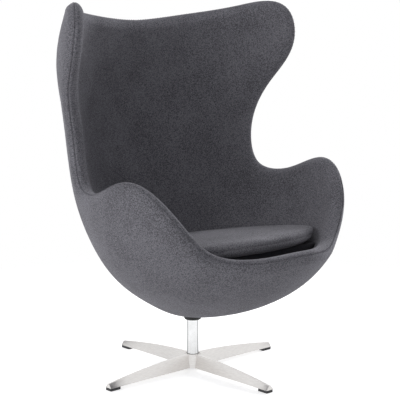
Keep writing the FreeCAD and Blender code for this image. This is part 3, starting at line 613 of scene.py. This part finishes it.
def finish_of(name, low, high, scale, roughness, metallic=0.0, bump_depth=0.0002,
              stretch=(1, 1, 1), spread=0.0):
    """Material with a slight change of tone and roughness over its surface and a fine relief."""
    mat = bpy.data.materials.new(name)
    mat.use_nodes = True
    tree = mat.node_tree
    tree.nodes.clear()
    place = add(tree, "ShaderNodeTexCoord")
    pulled = add(tree, "ShaderNodeMapping", {"Scale": stretch}, {"Vector": place.outputs["Object"]})
    grain = add(tree, "ShaderNodeTexNoise", {"Scale": scale, "Detail": 3.0, "Roughness": 0.6},
                {"Vector": pulled.outputs[0]})
    tone = ramp(tree, grain.outputs["Fac"], [(0.3, srgb(low)), (0.7, srgb(high))])
    rough = add(tree, "ShaderNodeMapRange",
                {"To Min": roughness - spread / 2, "To Max": roughness + spread / 2},
                {0: grain.outputs["Fac"]})
    bump = add(tree, "ShaderNodeBump", {"Strength": 0.3, "Distance": bump_depth},
               {"Height": grain.outputs["Fac"]})
    surface = add(tree, "ShaderNodeBsdfPrincipled",
                  {"Metallic": metallic, "Specular IOR Level": 0.5},
                  {"Base Color": tone.outputs[0], "Roughness": rough.outputs[0],
                   "Normal": bump.outputs[0]})
    add(tree, "ShaderNodeOutputMaterial", {}, {"Surface": surface.outputs[0]})
    return mat


def dress(material, *names, bevel=0.0):
    """Gives CAD nodes their material and breaks their sharp edges."""
    for name in names:
        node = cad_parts[name]
        if node.material_slots:
            for holder in node.material_slots:
                holder.link = "OBJECT"
                holder.material = material
        else:
            node.data.materials.append(material)
        if bevel:
            edge = node.modifiers.new("broken_edge", "BEVEL")
            edge.width = bevel
            edge.segments = 2
            edge.limit_method = "ANGLE"
            edge.angle_limit = math.radians(35)
            edge.harden_normals = False


moulding = finish_of("glass_reinforced_moulding", "#1B1B1D", "#29292C", 160.0, 0.55,
                     spread=0.1)
powder = finish_of("black_powder_coat_on_steel", "#131314", "#1D1D1F", 1200.0, 0.5,
                   spread=0.1)
zinc = finish_of("zinc_plated_steel", "#A9ABAE", "#C4C6C9", 600.0, 0.32, 1.0, spread=0.1)
brass = finish_of("turned_brass", "#B08D4A", "#CBA75E", 500.0, 0.3, 1.0, spread=0.08)
acetal = finish_of("moulded_acetal", "#CFCBBE", "#E0DDD2", 300.0, 0.45, spread=0.1)
rubber = finish_of("moulded_black_rubber", "#151516", "#202022", 500.0, 0.8, spread=0.1)
dress(moulding, "shell_core")
dress(powder, "mounting_plate", "tilt_cheeks", "swivel_yoke", bevel=0.0004)
dress(zinc, "seat_screws", "seat_washers", "spindle", "spindle_clip", "tilt_pin", "pin_clips",
      "column_plug", "column_screw", "glide_screws")
dress(brass, "shell_inserts")
dress(acetal, "pivot_bushes", "upper_bush", "lower_bush", "thrust_washer")
dress(rubber, "front_buffer", "rear_buffer")

# Collar. Black moulded ABS dish under the shell, which hides the neck opening. Its fine spark
# grain gives a soft, even highlight.
abs_black = finish_of("black_grained_abs", "#0F0F10", "#18181A", 1500.0, 0.42, spread=0.08)
dress(abs_black, "column_collar", bevel=0.0005)

# Column. Steel tube, chrome plated and polished: nearly white with crisp grey edges where it
# mirrors the two grey flags of the room, which the floor also shows as a painted reflection. Faint
# marks of handling dull it a little.
chrome = finish_of("polished_chrome_on_steel", "#F2F3F4", "#FAFBFC", 45.0, 0.07, 1.0,
                   bump_depth=0.00001, spread=0.04)
dress(chrome, "column_tube")

# Star foot. Cast aluminium, linished along its arms and lacquered. The sides keep a satin
# sheen with faint long scratches, and the narrow backs of the arms are brighter.
star_metal = finish_of("linished_cast_aluminium", "#DFDCDA", "#F0EEEC", 60.0, 0.30, 1.0,
                       bump_depth=0.00006, stretch=(1, 1, 14), spread=0.10)
dress(star_metal, "star_base", bevel=0.0008)

# Glides. Dark grey moulded polyethylene blocks under the arms' ends, matt and slightly
# scuffed.
glide_plastic = finish_of("dark_grey_polyethylene", "#2B2B2D", "#3C3C3F", 400.0, 0.6,
                          spread=0.15)
GLIDE_REACH = 0.3185
GLIDE_LENGTH = 0.0365
GLIDE_HALF = 0.0125
GLIDE_HEIGHT = 0.0079
GLIDE_CORNER = 0.004
GLIDE_EDGE = 0.0012
CORNER_STEPS = 6


def glide_ring(inset, z):
    """Rounded oblong drawn in by an inset, as a ring of points along +X."""
    ring = []
    for quarter, (sx, sy) in enumerate(((1, 1), (-1, 1), (-1, -1), (1, -1))):
        for k in range(CORNER_STEPS + 1):
            turn = math.pi / 2 * (quarter + k / CORNER_STEPS)
            cx = GLIDE_REACH - GLIDE_LENGTH / 2 + sx * (GLIDE_LENGTH / 2 - GLIDE_CORNER)
            cy = sy * (GLIDE_HALF - GLIDE_CORNER)
            ring.append((cx + (GLIDE_CORNER - inset) * math.cos(turn),
                         cy + (GLIDE_CORNER - inset) * math.sin(turn), z))
    return ring


for k in range(4):
    rings = [glide_ring(GLIDE_EDGE, 0.0), glide_ring(GLIDE_EDGE * 0.3, GLIDE_EDGE * 0.3),
             glide_ring(0.0, GLIDE_EDGE), glide_ring(0.0, GLIDE_HEIGHT - GLIDE_EDGE * 0.6),
             glide_ring(GLIDE_EDGE * 0.2, GLIDE_HEIGHT - GLIDE_EDGE * 0.2),
             glide_ring(GLIDE_EDGE * 0.6, GLIDE_HEIGHT)]
    turn = math.pi / 2 * k
    spun = np.array(rings) @ np.array([[math.cos(turn), math.sin(turn), 0],
                                       [-math.sin(turn), math.cos(turn), 0], [0, 0, 1]])
    name = "glide_%d" % (k + 1)
    glide = cloth_mesh(name + "_block", spun + [0, COLUMN_Y, 0], close_start=True, close_end=True)
    glide.data.materials.append(glide_plastic)
    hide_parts(name)
    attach(glide, "base")

# Floor. Pale studio floor that reads as white and keeps the chair's soft shadow.
mesh = bpy.data.meshes.new("studio_floor")
FLOOR_HALF = 14.0
FLOOR_DROP = 0.0002
corners = [(-1, -1), (1, -1), (1, 1), (-1, 1)]
mesh.from_pydata([(x * FLOOR_HALF, y * FLOOR_HALF, 0) for x, y in corners], [], [(0, 1, 2, 3)])
floor = bpy.data.objects.new("studio_floor", mesh)
scene.collection.objects.link(floor)
floor.location.z = -FLOOR_DROP
VIEW_TURN = math.radians(42.57)
FLAG_AXIS = (math.sin(VIEW_TURN), math.cos(VIEW_TURN), 0.0)
FLAG_TONES = [(0.0, (1.0, 1.0, 1.0)), (0.26, (1.0, 1.0, 1.0)), (0.34, (0.20, 0.20, 0.21)),
              (0.54, (0.34, 0.34, 0.35)), (0.66, (1.0, 1.0, 1.0))]
paper = bpy.data.materials.new("white_seamless_paper")
paper.use_nodes = True
tree = paper.node_tree
tree.nodes.clear()
matt = add(tree, "ShaderNodeBsdfDiffuse", {"Color": (0.86, 0.86, 0.86, 1.0)})
seen = add(tree, "ShaderNodeLightPath")
straight = add(tree, "ShaderNodeMath", {"operation": "MAXIMUM"},
               {0: seen.outputs["Is Camera Ray"], 1: seen.outputs["Is Glossy Ray"]})
shown = add(tree, "ShaderNodeMath", {"operation": "MAXIMUM"},
            {0: straight.outputs[0], 1: seen.outputs["Is Transmission Ray"]})
lift = add(tree, "ShaderNodeMath", {"operation": "MULTIPLY", 1: 0.55}, {0: shown.outputs[0]})
glow = add(tree, "ShaderNodeEmission", {"Color": (1, 1, 1, 1)}, {"Strength": lift.outputs[0]})
both = add(tree, "ShaderNodeAddShader", {}, {0: matt.outputs[0], 1: glow.outputs[0]})
# Away from the chair the floor turns into the white of the backdrop.
place = add(tree, "ShaderNodeTexCoord")
far = add(tree, "ShaderNodeVectorMath", {"operation": "LENGTH"}, {0: place.outputs["Object"]})
fade = add(tree, "ShaderNodeMapRange", {"From Min": 0.6, "From Max": 1.6},
           {0: far.outputs["Value"]})
seen_far = add(tree, "ShaderNodeMath", {"operation": "MULTIPLY"},
               {0: fade.outputs[0], 1: shown.outputs[0]})
# Painted reflection: for reflected rays the floor's glow also carries the two grey flags of the
# room, which the column mirrors.
toward = add(tree, "ShaderNodeVectorMath", {"operation": "NORMALIZE"},
             {0: place.outputs["Object"]})
facing = add(tree, "ShaderNodeVectorMath", {"operation": "DOT_PRODUCT", 1: FLAG_AXIS},
             {0: toward.outputs[0]})
flags = ramp(tree, facing.outputs["Value"], FLAG_TONES)
painted_flag_reflection = add(tree, "ShaderNodeMix", {"data_type": "RGBA"}, {0: seen.outputs["Is Glossy Ray"]})
painted_flag_reflection.inputs[6].default_value = (1.0, 1.0, 1.0, 1.0)
tree.links.new(flags.outputs[0], painted_flag_reflection.inputs[7])
# Painted shade: the paper's glow, as the star's arms mirror it, is darker within 0.4 m of the
# column and stands in for the chair's shade on the paper under the seat.
shade = add(tree, "ShaderNodeMapRange", {"From Min": 0.15, "From Max": 0.4, "To Min": 0.82},
            {0: far.outputs["Value"]})
backdrop = add(tree, "ShaderNodeEmission", {},
               {"Color": painted_flag_reflection.outputs[2], "Strength": shade.outputs[0]})
whole = add(tree, "ShaderNodeMath", {"operation": "MAXIMUM"},
            {0: seen_far.outputs[0], 1: seen.outputs["Is Glossy Ray"]})
faded = add(tree, "ShaderNodeMixShader", {},
            {0: whole.outputs[0], 1: both.outputs[0], 2: backdrop.outputs[0]})
add(tree, "ShaderNodeOutputMaterial", {}, {"Surface": faded.outputs[0]})
floor.data.materials.append(paper)

# Room. Soft even light from all round, white where it is seen directly. Polished metal also
# sees two grey flags at the sides, which draw the edges of the column, but not the lamps.
world = bpy.data.worlds.new("studio")
scene.world = world
world.use_nodes = True
tree = world.node_tree
tree.nodes.clear()
seen = add(tree, "ShaderNodeLightPath")
look = add(tree, "ShaderNodeTexCoord")
ambient = add(tree, "ShaderNodeBackground", {"Color": (0.95, 0.96, 1.0, 1.0), "Strength": 0.335})
white = add(tree, "ShaderNodeBackground", {"Color": (1, 1, 1, 1), "Strength": 1.0})
axis = add(tree, "ShaderNodeVectorMath", {"operation": "DOT_PRODUCT", 1: FLAG_AXIS},
           {0: look.outputs["Generated"]})
flags = ramp(tree, axis.outputs["Value"], FLAG_TONES)
mirrored = add(tree, "ShaderNodeBackground", {"Strength": 1.0}, {"Color": flags.outputs[0]})
first = add(tree, "ShaderNodeMixShader", {}, {0: seen.outputs["Is Glossy Ray"],
                                             1: ambient.outputs[0], 2: mirrored.outputs[0]})
straight = add(tree, "ShaderNodeMath", {"operation": "MAXIMUM"},
               {0: seen.outputs["Is Camera Ray"], 1: seen.outputs["Is Transmission Ray"]})
second = add(tree, "ShaderNodeMixShader", {}, {0: straight.outputs[0],
                                              1: first.outputs[0], 2: white.outputs[0]})
add(tree, "ShaderNodeOutputWorld", {}, {"Surface": second.outputs[0]})


def softbox(name, place, aim, power, width, height):
    """Rectangular area lamp that shines from its place towards its aim."""
    lamp = bpy.data.lights.new(name, "AREA")
    lamp.shape = "RECTANGLE"
    lamp.size = width
    lamp.size_y = height
    lamp.energy = power
    holder = bpy.data.objects.new(name, lamp)
    scene.collection.objects.link(holder)
    holder.location = place
    holder.rotation_euler = (Vector(aim) - Vector(place)).to_track_quat("-Z", "Y").to_euler()
    holder.visible_glossy = False


MID_CHAIR = (0.0, 0.0, 0.55)
softbox("softbox_left", (-3.6, 0.5, 1.9), MID_CHAIR, 66, 2.2, 2.2)
softbox("softbox_right", (3.6, 0.3, 1.9), MID_CHAIR, 126, 2.2, 2.2)
softbox("softbox_low_left", (-3.4, -1.9, 1.2), (0.0, 0.0, 0.5), 14, 2.0, 1.6)
softbox("softbox_top", (0.0, 0.0, 3.6), MID_CHAIR, 16, 3.0, 3.0)
softbox("softbox_back", (0.5, 3.6, 2.4), MID_CHAIR, 38, 2.2, 2.2)

# Camera. Standing 3.65 m from the chair, a little above it, with a long lens.
LOOK_DOWN = 9.35
lens = bpy.data.cameras.new("camera")
lens.sensor_width = 36.0
lens.lens = 115.2
lens.clip_end = 100.0
camera = bpy.data.objects.new("camera", lens)
scene.collection.objects.link(camera)
camera.location = (-2.454, -2.703 + COLUMN_Y, 1.105)
camera.rotation_euler = (math.radians(90 - LOOK_DOWN), 0.0, -VIEW_TURN)
scene.camera = camera
scene.view_settings.view_transform = "Standard"
